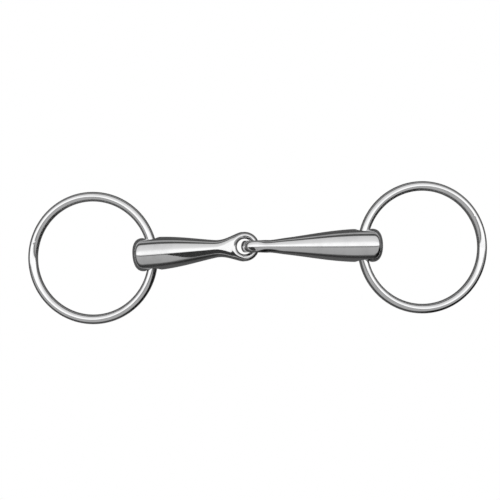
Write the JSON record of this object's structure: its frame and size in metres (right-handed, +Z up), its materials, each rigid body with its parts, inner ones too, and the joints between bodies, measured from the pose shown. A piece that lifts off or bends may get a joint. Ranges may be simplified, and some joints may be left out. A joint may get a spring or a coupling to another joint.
{
  "type": "snaffle bit",
  "caption": "Loose-ring snaffle bit: two tapered steel cannons joined by interlocked eyes, with a round wire ring running loosely through the outer end of each.",
  "frame": {"origin": "midway between the centres of the two rings, on the surface that the bit lies on", "axes": "+X along the mouthpiece through both ring centres, from the left ring to the right; +Z up, out of the surface; +Y across the mouthpiece, the way the two ring holes run"},
  "size_m": [0.2862, 0.082, 0.0205],
  "materials": {
    "cannon_steel": "mirror-polished stainless steel with faint polishing marks",
    "ring_steel": "mirror-polished stainless steel wire",
    "weld_steel": "dressed and polished butt weld, slightly duller than the wire"
  },
  "bodies": {
    "left_cannon": {"cannon_left": "cannon_steel"},
    "right_cannon": {"cannon_right": "cannon_steel"},
    "left_ring": {"ring_left": "ring_steel"},
    "right_ring": {"ring_right": "ring_steel"},
    "left_weld": {"weld_left": "weld_steel"},
    "right_weld": {"weld_right": "weld_steel"}
  },
  "joints": [
    {"name": "mouth_fold", "type": "hinge", "parent": "left_cannon", "child": "right_cannon", "pos_m": [-0.00796, 0.00403, 0.01025], "axis": [0, 0, 1], "range_deg": [-116, 124]},
    {"name": "left_ring_swing", "type": "hinge", "parent": "left_cannon", "child": "left_ring", "pos_m": [-0.0649, 0.00135, 0.01025], "axis": [-0.0469, 0.9989, 0], "range_deg": [-150, 160]},
    {"name": "right_ring_swing", "type": "hinge", "parent": "right_cannon", "child": "right_ring", "pos_m": [0.06492, 0.00236, 0.01025], "axis": [0.0229, 0.9997, 0], "range_deg": [-160, 150]},
    {"name": "left_ring_turn", "type": "hinge", "parent": "left_ring", "child": "left_weld", "pos_m": [-0.10225, 0, 0.00665], "axis": [-0.0959, -0.0045, 0.9954], "continuous": true},
    {"name": "right_ring_turn", "type": "hinge", "parent": "right_ring", "child": "right_weld", "pos_m": [0.10225, 0, 0.00665], "axis": [0.0959, -0.0022, 0.9954], "continuous": true}
  ]
}
